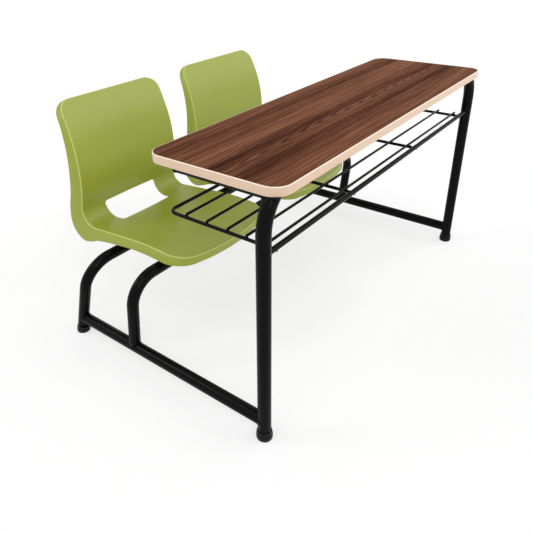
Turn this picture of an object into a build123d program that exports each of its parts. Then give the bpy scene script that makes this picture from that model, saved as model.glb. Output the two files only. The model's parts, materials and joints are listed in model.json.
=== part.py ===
"""Double school desk: a laminated top on a bent tube frame, a wire book rack and two moulded seats.

Millimetres, +Z up. X runs along the desk. The sitters are on the +Y side and look toward -Y.
The origin lies on the floor, in the middle of the whole desk's footprint.
Left means -X and right means +X, as seen from the front, where the two tall legs stand.
"""
from build123d import *
import os
from math import asin, cos, degrees, radians, sin, tan

# Whole desk
overall_depth = 977.6

# Desktop
top_length = 1350
top_width = 424
top_height = 760
top_thickness = 25
top_corner_radius = 48
sheet_thickness = 0.8
band_thickness = 3
band_arris_radius = 2

# Round steel tube of the frame. A coped end is trimmed this far short of the other tube's axis
tube_diameter = 38
tube_wall = 1.5
cope_trim = 1

# Tall legs, each one tube bent inward at the top and cut level under the board
leg_setback = 37
leg_outset = 12
leg_bend_radius = 120
leg_bend_drop = 95

# Plates on the legs' cut tops, screwed to the board
leg_plate_length = 100
leg_plate_width = 50
leg_plate_corner_radius = 6
leg_plate_end_inset = 3
leg_plate_screw_inset = 14
leg_plate_screw_half_spacing = 14

# Side rails near the floor
rail_height = 64

# Hoops that carry the seats
front_hoop_inset = 121.3
front_hoop_drop = 38
front_hoop_lean = 5.5
front_hoop_bend_radius = 88
rear_hoop_inset = 107
rear_hoop_drop = 59
rear_hoop_lean = 17
rear_hoop_bend_radius = 95

# Foot caps
cap_height = 30
cap_floor = 6
cap_wall = 4.5
cap_collar_wall = 2.5
cap_collar_height = 8
cap_groove = 1.5
cap_base_inset = 4

# Arms under the ends of the top, and the cross rail between them
arm_diameter = 20
arm_wall = 1.5
arm_inset = 26
arm_length = 300
cross_rail_distance = 180
plug_flange_thickness = 3
plug_flange_lip = 1.5
plug_depth = 14
gusset_thickness = 4
gusset_length = 45
gusset_drop = 25

# Tabs and screws that hold the top. The legs' plates are as thick as the tabs
tab_reach = 32
tab_width = 24
tab_thickness = 3
rail_tab_shares = (-0.3, 0, 0.3)
arm_tab_shares = (0.36, 0.86)
screw_diameter = 4.5
screw_length = 18
screw_head_diameter = 9
screw_head_height = 3

# Wire book rack
rack_rail_drop = 172
rack_rail_diameter = 15
rack_rail_wall = 1.2
rack_end_inset = 43
rack_rear_inset = 26
rack_drop = 9
rack_rod_diameter = 10
rack_bend_radius = 28
long_rod_diameter = 8
long_rod_overshoot = 12
rod_weld_sink = 0.6
cross_rod_shares = (0.31, 0.66)
long_rod_shares = (0.082, 0.256, 0.424, 0.618, 0.817)

# Seat shells
seat_spacing = 588
seat_pair_shift = -38
seat_half_width = 230
seat_depth = 479
seat_wall = 4.5
seat_dish = 6
seat_edge_radius = 9
seat_side_flare = 14
back_radius = 430
back_top_angle = 35.5
back_low_angle = 16
back_corner_radius = 50
bend_radius = 50
bend_height = 353
pan_rise_angle = 5
pan_rear_length = 190
pan_radius = 900
pan_overrun = 42
front_bow_radius = 740
front_corner_radius = 65
rim_depth = 77
rim_station_shares = (0, 0.14, 0.28, 0.39, 0.445, 0.48, 0.52, 0.59, 0.7, 0.85, 1)
rim_depth_shares = (0.13, 0.3, 0.5, 0.6, 0.86, 0.92, 0.58, 0.42, 0.35, 0.35, 0.38)
slot_place_angle = 49
slot_cut_angle = 32
slot_top_width = 244
slot_bottom_width = 232
slot_height = 82
slot_corner_radius = 13

# Seat fixings
plate_length = 56
plate_back = 14
plate_width = 44
plate_thickness = 4
plate_corner_radius = 5
plate_weld_sink = 1
bolt_offset = 29
bolt_half_spacing = 92
boss_diameter = 28
bolt_diameter = 6
bolt_length = 14
bolt_head_diameter = 12
bolt_head_height = 4
washer_diameter = 15
washer_thickness = 1.6

# Places worked out from the sizes above
front_edge_y = -overall_depth / 2
desk_y = front_edge_y + top_width / 2
under_top = top_height - top_thickness
tube_radius = tube_diameter / 2
leg_x = top_length / 2 + leg_outset
leg_y = front_edge_y + leg_setback
leg_corner_height = under_top - leg_bend_drop + leg_bend_radius
leg_plate_x = top_length / 2 - leg_plate_end_inset - leg_plate_length / 2
leg_plate_screw_x = leg_plate_x - leg_plate_length / 2 + leg_plate_screw_inset
tab_bottom = under_top - tab_thickness
arm_x = top_length / 2 - arm_inset
arm_z = under_top - arm_diameter / 2
cross_rail_y = leg_y + cross_rail_distance
rack_x = top_length / 2 - rack_end_inset
rack_rear_y = front_edge_y + top_width - rack_rear_inset
rack_rail_height = top_height - rack_rail_drop
rack_rod_z = rack_rail_height - rack_drop
long_rod_z = rack_rod_z + (rack_rod_diameter + long_rod_diameter) / 2 - rod_weld_sink
sides = {"left": -1, "right": 1}


def on_circle(centre, radius, angle):
    """Point of a circle in the side view, with the angle in degrees."""
    return (centre[0] + radius * cos(radians(angle)), centre[1] + radius * sin(radians(angle)))


# Side view of a seat: points (y, z) of the crease between its flat and its turned edge, from the top down
rise = radians(pan_rise_angle)
rim_at_top = rim_depth * rim_depth_shares[0] * cos(radians(back_top_angle))
lumbar_y = overall_depth / 2 - rim_at_top - back_radius * (1 - cos(radians(back_top_angle)))
lumbar_z = bend_height + bend_radius * cos(rise) + (back_radius + bend_radius) * sin(radians(back_low_angle))
back_centre = (lumbar_y + back_radius, lumbar_z)
back_top = on_circle(back_centre, back_radius, 180 - back_top_angle)
back_middle = on_circle(back_centre, back_radius, 180 + (back_low_angle - back_top_angle) / 2)
back_foot = on_circle(back_centre, back_radius, 180 + back_low_angle)
bend_centre = on_circle(back_centre, back_radius + bend_radius, 180 + back_low_angle)
bend_middle = on_circle(bend_centre, bend_radius, (back_low_angle - 90 - pan_rise_angle) / 2)
bend_foot = on_circle(bend_centre, bend_radius, -90 - pan_rise_angle)
pan_start = (bend_foot[0] - pan_rear_length * cos(rise), bend_foot[1] + pan_rear_length * sin(rise))
pan_centre = (pan_start[0] - pan_radius * sin(rise), pan_start[1] - pan_radius * cos(rise))
lip_y = lumbar_y - seat_depth
pan_end_angle = 90 + degrees(asin((pan_centre[0] - lip_y + pan_overrun) / pan_radius))
pan_middle = on_circle(pan_centre, pan_radius, (90 - pan_rise_angle + pan_end_angle) / 2)
pan_end = on_circle(pan_centre, pan_radius, pan_end_angle)

# Places of the seat hoops, under the seats
front_hoop_y = lip_y + front_hoop_inset
rear_hoop_y = bend_centre[0] - rear_hoop_inset
front_hoop_height = bend_height - front_hoop_drop
rear_hoop_height = bend_height - rear_hoop_drop
front_hoop_foot_y = front_hoop_y + (front_hoop_height - rail_height) * tan(radians(front_hoop_lean))
rear_hoop_foot_y = rear_hoop_y + rear_hoop_height * tan(radians(rear_hoop_lean))

os.makedirs("parts", exist_ok=True)


def save(piece, label):
    """Label a finished piece and write its file."""
    piece.part.label = label
    export_step(piece.part, f"parts/{label}.step")


def leaning_plane(y, z, lean):
    """Plane along X through (y, z), upright but tipped toward the front by the lean in degrees."""
    angle = radians(lean)
    return Plane(origin=(0, y, z), x_dir=(1, 0, 0), z_dir=(0, -cos(angle), -sin(angle)))


def bent_tube(plane, corners, bend_radius, diameter, wall):
    """Tube with tangent bends at the corners. With no wall it is a filled bar."""
    with BuildPart() as tube:
        with BuildLine(plane) as path:
            FilletPolyline(*corners, radius=bend_radius)
        with BuildSketch(Plane(origin=path.line @ 0, z_dir=path.line % 0)):
            Circle(diameter / 2)
            if wall:
                Circle(diameter / 2 - wall, mode=Mode.SUBTRACT)
        sweep()
    return tube.part


def straight_tube(start, direction, length, diameter, wall):
    """Straight tube from a start point. With no wall it is a filled bar."""
    with BuildPart() as tube:
        with BuildSketch(Plane(origin=start, z_dir=direction)):
            Circle(diameter / 2)
            if wall:
                Circle(diameter / 2 - wall, mode=Mode.SUBTRACT)
        extrude(amount=length)
    return tube.part


# Frame tubes before their ends are coped, each as a filled bar or with a wall
def tall_leg(side, wall):
    """Tall leg with its top bent over toward the middle of the desk, before it is cut level."""
    plane = Plane(origin=(side * leg_x, leg_y, 0), x_dir=(-side, 0, 0), z_dir=(0, side, 0))
    corners = [(0, cap_floor), (0, leg_corner_height), (2 * leg_bend_radius, leg_corner_height)]
    return bent_tube(plane, corners, leg_bend_radius, tube_diameter, wall)


def side_rail(side, wall):
    """Rail near the floor, from a tall leg to the rear hoop's leg."""
    start_y = leg_y + cope_trim
    end_y = rear_hoop_foot_y - rail_height * tan(radians(rear_hoop_lean)) - cope_trim
    start = (side * leg_x, start_y, rail_height)
    return straight_tube(start, (0, 1, 0), end_y - start_y, tube_diameter, wall)


def front_hoop(wall):
    """Hoop under the front of the seats, standing on the side rails."""
    top = (front_hoop_height - rail_height) / cos(radians(front_hoop_lean))
    corners = [(-leg_x, cope_trim), (-leg_x, top), (leg_x, top), (leg_x, cope_trim)]
    plane = leaning_plane(front_hoop_foot_y, rail_height, front_hoop_lean)
    return bent_tube(plane, corners, front_hoop_bend_radius, tube_diameter, wall)


def rear_hoop(wall):
    """Hoop under the back of the seats, cut level inside its foot caps."""
    top = rear_hoop_height / cos(radians(rear_hoop_lean))
    corners = [(-leg_x, 0), (-leg_x, top), (leg_x, top), (leg_x, 0)]
    plane = leaning_plane(rear_hoop_foot_y, 0, rear_hoop_lean)
    hoop = bent_tube(plane, corners, rear_hoop_bend_radius, tube_diameter, wall)
    with BuildPart() as cut_hoop:
        add(hoop)
        split(bisect_by=Plane.XY.offset(cap_floor), keep=Keep.TOP)
    return cut_hoop.part


def top_arm(name, side, wall):
    """Arm under one end of the top, coped on to the tall leg."""
    with BuildPart() as arm:
        add(straight_tube((side * arm_x, leg_y, arm_z), (0, 1, 0), arm_length, arm_diameter, wall))
        add(leg_bars[name], mode=Mode.SUBTRACT)
    return arm.part


def cross_rail(wall):
    """Rail between the arms, before its ends are coped."""
    start_x = cope_trim - arm_x
    return straight_tube((start_x, cross_rail_y, arm_z), (1, 0, 0), -2 * start_x, arm_diameter, wall)


def rack_rail(wall):
    """Thick rail between the tall legs."""
    start = (-leg_x, leg_y, rack_rail_height)
    return straight_tube(start, (1, 0, 0), 2 * leg_x, rack_rail_diameter, wall)


def rack_frame():
    """Rod bent round three sides of the rack, its ends lapped under the front rail."""
    corners = [(-rack_x, leg_y), (-rack_x, rack_rear_y), (rack_x, rack_rear_y), (rack_x, leg_y)]
    return bent_tube(Plane.XY.offset(rack_rod_z), corners, rack_bend_radius, rack_rod_diameter, 0)


leg_bars = {name: tall_leg(side, 0) for name, side in sides.items()}
rail_bars = {name: side_rail(side, 0) for name, side in sides.items()}
front_hoop_bar = front_hoop(0)
rear_hoop_bar = rear_hoop(0)
rack_rail_bar = rack_rail(0)
rack_frame_bar = rack_frame()
arm_bars = {name: top_arm(name, side, 0) for name, side in sides.items()}
cross_rail_bar = cross_rail(0)
cross_rod_bars = [
    straight_tube(
        ((2 * share - 1) * rack_x, leg_y, rack_rod_z), (0, 1, 0), rack_rear_y - leg_y, rack_rod_diameter, 0
    )
    for share in cross_rod_shares
]

# Screw places under the top, as seen from above
plate_screw_points = [
    (side * leg_plate_screw_x, leg_y + way * leg_plate_screw_half_spacing)
    for side in sides.values()
    for way in (-1, 1)
]
rail_screw_points = [(share * top_length, cross_rail_y + tab_reach) for share in rail_tab_shares]
arm_screw_points = [
    (side * (arm_x - tab_reach), leg_y + share * arm_length)
    for side in sides.values()
    for share in arm_tab_shares
]
screw_points = plate_screw_points + rail_screw_points + arm_screw_points


# Desktop
def desktop_sheet(bottom, thickness, drilled):
    """Board of the desktop's outline inside its edge band, drilled from below where it is held."""
    with BuildPart() as sheet:
        with BuildSketch(Plane((0, desk_y, bottom))):
            length = top_length - 2 * band_thickness
            width = top_width - 2 * band_thickness
            RectangleRounded(length, width, top_corner_radius - band_thickness)
        extrude(amount=thickness)
        if drilled:
            with BuildSketch(Plane.XY.offset(under_top)):
                with Locations(*screw_points):
                    Circle(screw_diameter / 2)
            extrude(amount=screw_length - tab_thickness, mode=Mode.SUBTRACT)
    return sheet


save(desktop_sheet(under_top, sheet_thickness, True), "desktop_backing_sheet")
save(desktop_sheet(under_top + sheet_thickness, top_thickness - 2 * sheet_thickness, True), "desktop_core")
save(desktop_sheet(top_height - sheet_thickness, sheet_thickness, False), "desktop_laminate")

with BuildPart() as edge_band:
    with BuildSketch(Plane((0, desk_y, under_top))):
        RectangleRounded(top_length, top_width, top_corner_radius)
    extrude(amount=top_thickness)
    fillet(edge_band.faces().filter_by(Axis.Z).edges(), band_arris_radius)
    with BuildSketch(Plane((0, desk_y, under_top))):
        inner_length = top_length - 2 * band_thickness
        inner_width = top_width - 2 * band_thickness
        RectangleRounded(inner_length, inner_width, top_corner_radius - band_thickness)
    extrude(amount=top_thickness, mode=Mode.SUBTRACT)
save(edge_band, "desktop_edge_band")

# Frame tubes, coped where they meet
for name, side in sides.items():
    with BuildPart() as desk_leg:
        add(tall_leg(side, tube_wall))
        split(bisect_by=Plane.XY.offset(tab_bottom), keep=Keep.BOTTOM)
    save(desk_leg, f"desk_leg_{name}")

with BuildPart() as leg_plates:
    for name, side in sides.items():
        with BuildSketch(Plane((side * leg_plate_x, leg_y, tab_bottom))):
            RectangleRounded(leg_plate_length, leg_plate_width, leg_plate_corner_radius)
        extrude(amount=tab_thickness)
        add(arm_bars[name], mode=Mode.SUBTRACT)
    with BuildSketch(Plane.XY.offset(tab_bottom)):
        with Locations(*plate_screw_points):
            Circle(screw_diameter / 2)
    extrude(amount=tab_thickness, mode=Mode.SUBTRACT)
save(leg_plates, "leg_top_plates")

for name, side in sides.items():
    with BuildPart() as rail:
        add(side_rail(side, tube_wall))
        add(leg_bars[name], mode=Mode.SUBTRACT)
        add(rear_hoop_bar, mode=Mode.SUBTRACT)
    save(rail, f"side_rail_{name}")

with BuildPart() as front_seat_hoop:
    add(front_hoop(tube_wall))
    for bar in rail_bars.values():
        add(bar, mode=Mode.SUBTRACT)
save(front_seat_hoop, "front_seat_hoop")

with BuildPart() as rear_seat_hoop:
    add(rear_hoop(tube_wall))
save(rear_seat_hoop, "rear_seat_hoop")


# Foot caps
def foot_cap(side, y, lean, leg):
    """Moulded cap pushed over a tube's end, its underside level with the floor."""
    plane = leaning_plane(y, 0, lean)
    foot = (side * leg_x, y, 0)
    body_radius = tube_radius + cap_wall
    collar_radius = tube_radius + cap_collar_wall
    body_top = cap_height - cap_collar_height
    below = body_radius * tan(radians(lean))
    with BuildPart() as cap:
        with BuildSketch(Plane(origin=foot, x_dir=plane.x_dir, z_dir=plane.z_dir)):
            with BuildLine():
                base = (body_radius - cap_base_inset, -below)
                side_low = (body_radius, body_top / 3)
                side_high = (body_radius, 2 * body_top / 3)
                shoulder = (collar_radius - cap_groove, body_top)
                collar_foot = (collar_radius, body_top + cap_groove)
                Polyline((0, cap_height), (0, -below), base, side_low, side_high, shoulder)
                Polyline(shoulder, collar_foot, (collar_radius, cap_height), (0, cap_height))
            make_face()
        revolve(axis=Axis(foot, plane.y_dir))
        add(leg, mode=Mode.SUBTRACT)
        split(bisect_by=Plane.XY, keep=Keep.TOP)
    return cap


for name, side in sides.items():
    save(foot_cap(side, leg_y, 0, leg_bars[name]), f"foot_cap_front_{name}")
    save(foot_cap(side, rear_hoop_foot_y, rear_hoop_lean, rear_hoop_bar), f"foot_cap_rear_{name}")

# Arms under the ends of the top and the cross rail between them, with plugs and gussets
for name, side in sides.items():
    with BuildPart() as arm:
        add(top_arm(name, side, arm_wall))
    save(arm, f"top_arm_{name}")

with BuildPart() as top_cross_rail:
    add(cross_rail(arm_wall))
    for bar in arm_bars.values():
        add(bar, mode=Mode.SUBTRACT)
save(top_cross_rail, "top_cross_rail")

with BuildPart() as arm_plugs:
    for side in sides.values():
        end = Plane(origin=(side * arm_x, leg_y + arm_length, arm_z), z_dir=(0, 1, 0))
        with BuildSketch(end):
            Circle(arm_diameter / 2 + plug_flange_lip)
        extrude(amount=plug_flange_thickness)
        with BuildSketch(end):
            Circle(arm_diameter / 2 - arm_wall)
        extrude(amount=-plug_depth)
    split(bisect_by=Plane.XY.offset(under_top), keep=Keep.BOTTOM)
save(arm_plugs, "arm_end_plugs")

with BuildPart() as gussets:
    for side in sides.values():
        face_x = side * arm_x - gusset_thickness / 2
        with BuildSketch(Plane(origin=(face_x, leg_y, arm_z), x_dir=(0, 1, 0), z_dir=(1, 0, 0))):
            Polygon((0, 0), (0, -gusset_drop), (tube_radius, -gusset_drop), (gusset_length, 0), align=None)
        extrude(amount=gusset_thickness)
    for bar in [*leg_bars.values(), *arm_bars.values()]:
        add(bar, mode=Mode.SUBTRACT)
save(gussets, "arm_gussets")


# Tabs and screws that hold the top
def tab(point, direction):
    """Flat tab with a rounded end and a screw hole, reaching back to the tube that carries it."""
    origin = (point[0], point[1], tab_bottom)
    with BuildPart() as piece:
        with BuildSketch(Plane(origin=origin, x_dir=direction, z_dir=(0, 0, 1))):
            Circle(tab_width / 2)
            Rectangle(tab_reach, tab_width, align=(Align.MAX, Align.CENTER))
            Circle(screw_diameter / 2, mode=Mode.SUBTRACT)
        extrude(amount=tab_thickness)
        for bar in [cross_rail_bar, *arm_bars.values()]:
            add(bar, mode=Mode.SUBTRACT)
    return piece.part


rail_tabs = [tab(point, (0, 1, 0)) for point in rail_screw_points]
arm_tabs = [tab(point, (1 if point[0] < 0 else -1, 0, 0)) for point in arm_screw_points]
with BuildPart() as tabs:
    for piece in rail_tabs + arm_tabs:
        add(piece)
save(tabs, "top_fixing_tabs")

with BuildPart() as screws:
    with BuildSketch(Plane.XY.offset(tab_bottom)):
        with Locations(*screw_points):
            Circle(screw_diameter / 2)
    extrude(amount=screw_length)
    with BuildSketch(Plane.XY.offset(tab_bottom)):
        with Locations(*screw_points):
            Circle(screw_head_diameter / 2)
    extrude(amount=-screw_head_height)
save(screws, "top_fixing_screws")

# Book rack
with BuildPart() as rack_front_rail:
    add(rack_rail(rack_rail_wall))
    for bar in leg_bars.values():
        add(bar, mode=Mode.SUBTRACT)
save(rack_front_rail, "rack_front_rail")

with BuildPart() as rack_frame_rod:
    add(rack_frame_bar)
    add(rack_rail_bar, mode=Mode.SUBTRACT)
save(rack_frame_rod, "rack_frame_rod")

with BuildPart() as rack_cross_rods:
    for bar in cross_rod_bars:
        add(bar)
    add(rack_rail_bar, mode=Mode.SUBTRACT)
    add(rack_frame_bar, mode=Mode.SUBTRACT)
save(rack_cross_rods, "rack_cross_rods")

with BuildPart() as rack_long_rods:
    for share in long_rod_shares:
        start = (-rack_x, leg_y + share * (rack_rear_y - leg_y), long_rod_z)
        length = 2 * rack_x + long_rod_overshoot
        add(straight_tube(start, (1, 0, 0), length, long_rod_diameter, 0))
    add(rack_frame_bar, mode=Mode.SUBTRACT)
    for bar in cross_rod_bars:
        add(bar, mode=Mode.SUBTRACT)
save(rack_long_rods, "rack_long_rods")


def draw_crease():
    """Add the crease to the open line, which lies in the side view."""
    ThreePointArc(back_top, back_middle, back_foot)
    ThreePointArc(back_foot, bend_middle, bend_foot)
    Line(bend_foot, pan_start)
    ThreePointArc(pan_start, pan_middle, pan_end)


with BuildLine() as side_view:
    draw_crease()
crease = side_view.wire()


def rim_points(extra):
    """Points of the turned edge's rim in the side view, set out by the extra."""
    points = []
    for station, share in zip(rim_station_shares, rim_depth_shares):
        place = crease.position_at(station)
        along = crease.tangent_at(station)
        depth = share * rim_depth + extra
        points.append((place.X - along.Y * depth, place.Y + along.X * depth))
    return points


def seat_block(x, inset, extra):
    """Solid inside the seat's outer faces, drawn in by the inset, its rim set out by the extra."""
    half = seat_half_width - inset
    reach = 3 * rim_depth
    wide = half + reach * tan(radians(seat_side_flare))
    start = Vector(x, *back_top)
    down = Vector(0, -sin(radians(back_top_angle)), -cos(radians(back_top_angle)))
    with BuildPart() as block:
        with BuildLine(Plane((x, 0, 0), x_dir=(0, 1, 0), z_dir=(1, 0, 0))):
            draw_crease()
        with BuildSketch(Plane(origin=start, x_dir=(1, 0, 0), z_dir=-down)):
            with BuildLine():
                ThreePointArc((-half, inset), (0, seat_dish + inset), (half, inset))
                Polyline((half, inset), (wide, reach), (-wide, reach), (-half, inset))
            make_face()
        sweep()
        with BuildSketch(Plane((x, lip_y + front_bow_radius, 0))):
            Circle(front_bow_radius - inset)
        extrude(amount=2 * top_height, mode=Mode.INTERSECT)
        if inset:
            split(bisect_by=Plane(origin=start + down * inset, z_dir=down), keep=Keep.TOP)
        back_edges = block.faces().sort_by(Axis.Z)[-1].edges().sort_by(Axis.X)
        fillet([back_edges[0], back_edges[-1]], back_corner_radius - inset)
        lip_edges = block.faces().sort_by(Axis.Y)[0].edges().sort_by(Axis.X)
        fillet([lip_edges[0], lip_edges[-1]], front_corner_radius - inset)
        fillet(block.faces().sort_by(Axis.Y)[0].edges().sort_by(Axis.Z)[-1], seat_edge_radius - inset)
        rim = rim_points(extra)
        far = (pan_end[0] - reach, back_top[1] + reach)
        with BuildSketch(Plane((x - wide, 0, 0), x_dir=(0, 1, 0), z_dir=(1, 0, 0))):
            with BuildLine():
                Spline(*rim)
                Polyline(rim[-1], (far[0], rim[-1][1]), far, (rim[0][0], far[1]), rim[0])
            make_face()
        extrude(amount=2 * wide, mode=Mode.INTERSECT)
    return block.part


# Seat fixings under the pan: y of the bolts, height of the plates' undersides and the hoop below
plate_drop = tube_radius - plate_weld_sink
fixings = [
    (front_hoop_y, -1, front_hoop_height + plate_drop, front_hoop_bar),
    (rear_hoop_y, 1, rear_hoop_height + plate_drop, rear_hoop_bar),
]
seat_places = {name: seat_pair_shift + side * seat_spacing / 2 for name, side in sides.items()}
boss_hole_depth = bolt_length - washer_thickness - plate_thickness


def seat_shell(x):
    """Moulded seat: block less its inside, with bosses under the pan and a slot in the lower back."""
    outside = seat_block(x, 0, 0)
    inside = seat_block(x, seat_wall, rim_depth)
    slot_centre = on_circle(bend_centre, bend_radius, -slot_place_angle)
    slot_way = (0, cos(radians(slot_cut_angle)), -sin(radians(slot_cut_angle)))
    with BuildPart() as bosses:
        for hoop_y, way, plate_bottom, _ in fixings:
            with BuildSketch(Plane((x, hoop_y + way * bolt_offset, plate_bottom + plate_thickness))):
                with Locations((-bolt_half_spacing, 0), (bolt_half_spacing, 0)):
                    Circle(boss_diameter / 2)
            extrude(amount=rim_depth)
        add(inside, mode=Mode.INTERSECT)
    with BuildPart() as shell:
        add(outside)
        add(inside, mode=Mode.SUBTRACT)
        with BuildSketch(Plane(origin=(x, *slot_centre), x_dir=(1, 0, 0), z_dir=slot_way)):
            top = slot_top_width / 2
            bottom = slot_bottom_width / 2
            side = slot_height / 2
            Polygon((-top, -side), (top, -side), (bottom, side), (-bottom, side), align=None)
            fillet(vertices(), slot_corner_radius)
        extrude(amount=bend_radius, both=True, mode=Mode.SUBTRACT)
        add(bosses.part)
        for hoop_y, way, plate_bottom, _ in fixings:
            with BuildSketch(Plane((x, hoop_y + way * bolt_offset, plate_bottom + plate_thickness))):
                with Locations((-bolt_half_spacing, 0), (bolt_half_spacing, 0)):
                    Circle(bolt_diameter / 2)
            extrude(amount=boss_hole_depth, mode=Mode.SUBTRACT)
    return shell


def seat_plates(x):
    """Plates welded on both hoops under one seat, each with a bolt hole clear of the tube."""
    with BuildPart() as plates:
        for hoop_y, way, plate_bottom, hoop_bar in fixings:
            middle_y = hoop_y + way * (plate_length / 2 - plate_back)
            with BuildSketch(Plane((x, middle_y, plate_bottom))):
                with Locations((-bolt_half_spacing, 0), (bolt_half_spacing, 0)):
                    RectangleRounded(plate_width, plate_length, plate_corner_radius)
            extrude(amount=plate_thickness)
            with BuildSketch(Plane((x, hoop_y + way * bolt_offset, plate_bottom))):
                with Locations((-bolt_half_spacing, 0), (bolt_half_spacing, 0)):
                    Circle(bolt_diameter / 2)
            extrude(amount=plate_thickness, mode=Mode.SUBTRACT)
            add(hoop_bar, mode=Mode.SUBTRACT)
    return plates


def seat_washers(x):
    """Washers under the plates."""
    with BuildPart() as washers:
        for hoop_y, way, plate_bottom, _ in fixings:
            with BuildSketch(Plane((x, hoop_y + way * bolt_offset, plate_bottom))):
                with Locations((-bolt_half_spacing, 0), (bolt_half_spacing, 0)):
                    Circle(washer_diameter / 2)
                    Circle(bolt_diameter / 2, mode=Mode.SUBTRACT)
            extrude(amount=-washer_thickness)
    return washers


def seat_bolts(x):
    """Bolts with hexagon heads, up through washer and plate into the bosses."""
    with BuildPart() as bolts:
        for hoop_y, way, plate_bottom, _ in fixings:
            under_washer = Plane((x, hoop_y + way * bolt_offset, plate_bottom - washer_thickness))
            with BuildSketch(under_washer):
                with Locations((-bolt_half_spacing, 0), (bolt_half_spacing, 0)):
                    RegularPolygon(bolt_head_diameter / 2, 6)
            extrude(amount=-bolt_head_height)
            with BuildSketch(under_washer):
                with Locations((-bolt_half_spacing, 0), (bolt_half_spacing, 0)):
                    Circle(bolt_diameter / 2)
            extrude(amount=bolt_length)
    return bolts


for name, x in seat_places.items():
    save(seat_shell(x), f"seat_shell_{name}")
    save(seat_plates(x), f"seat_plates_{name}")
    save(seat_washers(x), f"seat_washers_{name}")
    save(seat_bolts(x), f"seat_bolts_{name}")
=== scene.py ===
"""Looks for the double school desk.

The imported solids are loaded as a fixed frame. Tubes, rails, bent rods, plates, bolts and screws keep their
solids and get finishes. The desktop, the seats, the foot caps and the rack's long rods are modelled here
again in finer form, inside the same sizes. Weld beads, spot welds and the seats' bosses are added.
Lengths are in metres and angles in degrees.
"""
import json
import logging
import math
from dataclasses import dataclass
from enum import Enum
from typing import Iterable, Sequence

import bmesh
import bpy
from mathutils import Matrix, Vector


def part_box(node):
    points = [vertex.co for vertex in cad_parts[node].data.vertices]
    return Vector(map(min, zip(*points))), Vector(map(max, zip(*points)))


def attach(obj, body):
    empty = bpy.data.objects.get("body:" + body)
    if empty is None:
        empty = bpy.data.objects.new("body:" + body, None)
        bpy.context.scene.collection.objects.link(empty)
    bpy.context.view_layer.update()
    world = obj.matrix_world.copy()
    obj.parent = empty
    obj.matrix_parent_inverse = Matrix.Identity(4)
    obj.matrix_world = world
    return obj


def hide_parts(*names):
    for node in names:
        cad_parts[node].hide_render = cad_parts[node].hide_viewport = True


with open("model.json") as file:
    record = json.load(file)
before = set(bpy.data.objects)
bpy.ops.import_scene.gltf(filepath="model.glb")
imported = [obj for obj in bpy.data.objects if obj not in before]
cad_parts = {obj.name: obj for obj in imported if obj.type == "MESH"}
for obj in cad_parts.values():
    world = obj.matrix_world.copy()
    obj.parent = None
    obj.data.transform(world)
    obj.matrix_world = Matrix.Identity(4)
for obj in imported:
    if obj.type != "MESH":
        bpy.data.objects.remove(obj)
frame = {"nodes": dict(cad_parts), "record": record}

log = logging.getLogger("school_desk")
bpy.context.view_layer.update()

Colour = tuple[float, float, float, float]
Triple = tuple[float, float, float]
Flat = dict[bmesh.types.BMVert, tuple[float, float]]

# Places closer than this are one place
SAME_PLACE = 1e-6

# A face counts as level where its normal's Z is larger than this
LEVEL_NORMAL = 0.5


def tone(red: int, green: int, blue: int) -> Colour:
    """Turn a colour as a screen shows it into the scene's linear values.

    Args:
        red: 0 to 255.
        green: 0 to 255.
        blue: 0 to 255.

    Returns:
        The linear colour, solid.
    """
    parts = [(c / 255 + 0.055) / 1.055 for c in (red, green, blue)]
    return (parts[0] ** 2.4, parts[1] ** 2.4, parts[2] ** 2.4, 1.0)


class Slot(Enum):
    """Material slots of the record."""

    BOARD = "board"
    LAMINATE = "woodgrain_laminate"
    BACKING = "backing"
    BAND = "edge_band"
    POWDER = "black_powder_coat"
    CAP = "black_plastic"
    SEAT = "seat_plastic"
    ZINC = "zinc_steel"


class Side(Enum):
    """End of the desk, seen from the front."""

    LEFT = -1
    RIGHT = 1

    @property
    def word(self) -> str:
        """The end's name as the solids spell it."""
        return self.name.lower()


# Finishes


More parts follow.
